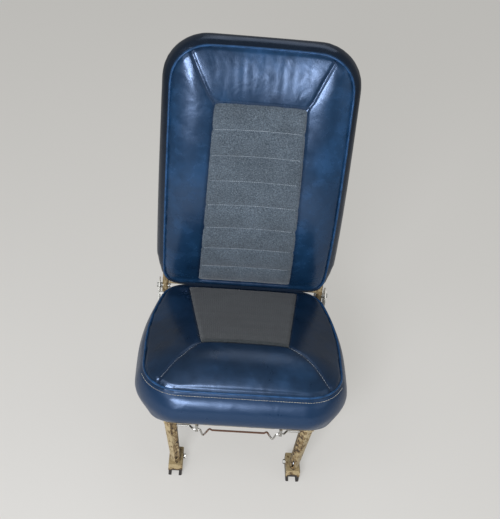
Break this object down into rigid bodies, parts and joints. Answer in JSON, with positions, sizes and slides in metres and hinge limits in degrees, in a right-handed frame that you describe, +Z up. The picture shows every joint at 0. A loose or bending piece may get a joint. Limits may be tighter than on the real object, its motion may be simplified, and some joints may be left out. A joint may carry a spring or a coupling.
{
  "type": "aircraft pilot seat",
  "caption": "Upholstered pilot seat with quilted folding back and piped cushion on a steel frame, four rail feet with rollers, and a wire bail that lifts the seat lock pins.",
  "frame": {"origin": "On the floor plane under the middle of the whole seat's bounding box; the claws of the four feet stand on Z=0.", "axes": "X runs across the seat, +Y from the seat's front to its rear (the occupant faces -Y), +Z up."},
  "size_m": [0.4881, 0.5556, 0.9145],
  "materials": {
    "cream_frame_paint": "cream enamel worn to brown and dark steel at its edges",
    "worn_foot_paint": "cast feet, cream enamel mostly worn to dark steel",
    "white_bracket_paint": "white enamel on the hinge plates",
    "plated_steel": "dull plated hardware",
    "pin_steel": "bare steel pin and lift wire",
    "roller_steel": "turned steel",
    "bronze_bush": "bronze guide bush",
    "spring_steel": "oiled dark spring wire",
    "rusty_wire": "bent wire, rusty along its middle and silver at its ends",
    "blue_leather": "mid-blue leather, dark navy sides, creased and rubbed",
    "piping_leather": "paler blue rubbed piping",
    "seat_cloth": "dark grey-brown woven cloth",
    "back_cloth": "grey-blue heathered cloth with off-white quilting",
    "navy_vinyl": "dark navy cover on the back's rear"
  },
  "bodies": {
    "frame": {"front_cross_channel": "cream_frame_paint", "side_rail_left": "cream_frame_paint", "side_rail_right": "cream_frame_paint", "rear_cross_tube": "cream_frame_paint", "front_leg_left": "cream_frame_paint", "front_leg_right": "cream_frame_paint", "front_foot_left": "worn_foot_paint", "front_foot_right": "worn_foot_paint", "front_axle_bolt_left": "plated_steel", "front_axle_bolt_right": "plated_steel", "rear_leg_left": "cream_frame_paint", "rear_leg_right": "cream_frame_paint", "rear_foot_left": "worn_foot_paint", "rear_foot_right": "worn_foot_paint", "rear_axle_bolt_left": "plated_steel", "rear_axle_bolt_right": "plated_steel", "pin_bush_left": "bronze_bush", "pin_bush_right": "bronze_bush", "pin_spring_left": "spring_steel", "pin_spring_right": "spring_steel", "spring_seat_left": "plated_steel", "spring_seat_right": "plated_steel", "bail_hanger_left": "plated_steel", "bail_hanger_right": "plated_steel", "hinge_bracket_left": "white_bracket_paint", "hinge_bracket_right": "white_bracket_paint", "hinge_bolt_left": "plated_steel", "hinge_bolt_right": "plated_steel", "hinge_nut_left": "plated_steel", "hinge_nut_right": "plated_steel", "hinge_spacer_left": "plated_steel", "hinge_spacer_right": "plated_steel", "seat_spring_1": "spring_steel", "seat_spring_2": "spring_steel", "seat_spring_3": "spring_steel", "seat_spring_4": "spring_steel", "seat_cushion": "blue_leather", "seat_insert": "seat_cloth", "seat_welt": "piping_leather"},
    "back": {"back_hoop": "cream_frame_paint", "back_lower_rod": "cream_frame_paint", "back_spring_1": "spring_steel", "back_spring_2": "spring_steel", "back_spring_3": "spring_steel", "back_cushion": "blue_leather", "back_insert": "back_cloth", "back_welt": "piping_leather", "back_rear_cover": "navy_vinyl"},
    "bail": {"release_bail": "rusty_wire"},
    "left_pin": {"lock_pin_left": "pin_steel"},
    "right_pin": {"lock_pin_right": "pin_steel"},
    "front_left_roller": {"front_roller_left": "roller_steel"},
    "front_right_roller": {"front_roller_right": "roller_steel"},
    "rear_left_roller": {"rear_roller_left": "roller_steel"},
    "rear_right_roller": {"rear_roller_right": "roller_steel"}
  },
  "joints": [
    {"name": "back_fold", "type": "hinge", "parent": "frame", "child": "back", "pos_m": [0, 0.18116, 0.258], "axis": [1, 0, 0], "range_deg": [0, 30], "deforming": ["back_cushion", "back_insert", "back_welt"]},
    {"name": "bail_pull", "type": "hinge", "parent": "frame", "child": "bail", "pos_m": [0, -0.22284, 0.151], "axis": [1, 0, 0], "range_deg": [0, 35], "stiffness_Nm_per_rad": 0.35, "springref_deg": -34.38},
    {"name": "left_pin_lift", "type": "slide", "parent": "frame", "child": "left_pin", "axis": [0, 0, 1], "range_m": [0, 0.00962], "deforming": ["pin_spring_left"]},
    {"name": "right_pin_lift", "type": "slide", "parent": "frame", "child": "right_pin", "axis": [0, 0, 1], "range_m": [0, 0.00962], "deforming": ["pin_spring_right"]},
    {"name": "front_left_roll", "type": "hinge", "parent": "frame", "child": "front_left_roller", "pos_m": [-0.138, -0.18284, 0.022], "axis": [1, 0, 0], "continuous": true},
    {"name": "front_right_roll", "type": "hinge", "parent": "frame", "child": "front_right_roller", "pos_m": [0.138, -0.18284, 0.022], "axis": [1, 0, 0], "continuous": true},
    {"name": "rear_left_roll", "type": "hinge", "parent": "frame", "child": "rear_left_roller", "pos_m": [-0.138, 0.16216, 0.022], "axis": [1, 0, 0], "continuous": true},
    {"name": "rear_right_roll", "type": "hinge", "parent": "frame", "child": "rear_right_roller", "pos_m": [0.138, 0.16216, 0.022], "axis": [1, 0, 0], "continuous": true}
  ],
  "couplings": [
    {"joint": "bail_pull", "follows": "left_pin_lift", "rad_per_m": 63.484},
    {"joint": "right_pin_lift", "follows": "left_pin_lift", "ratio": 1}
  ]
}
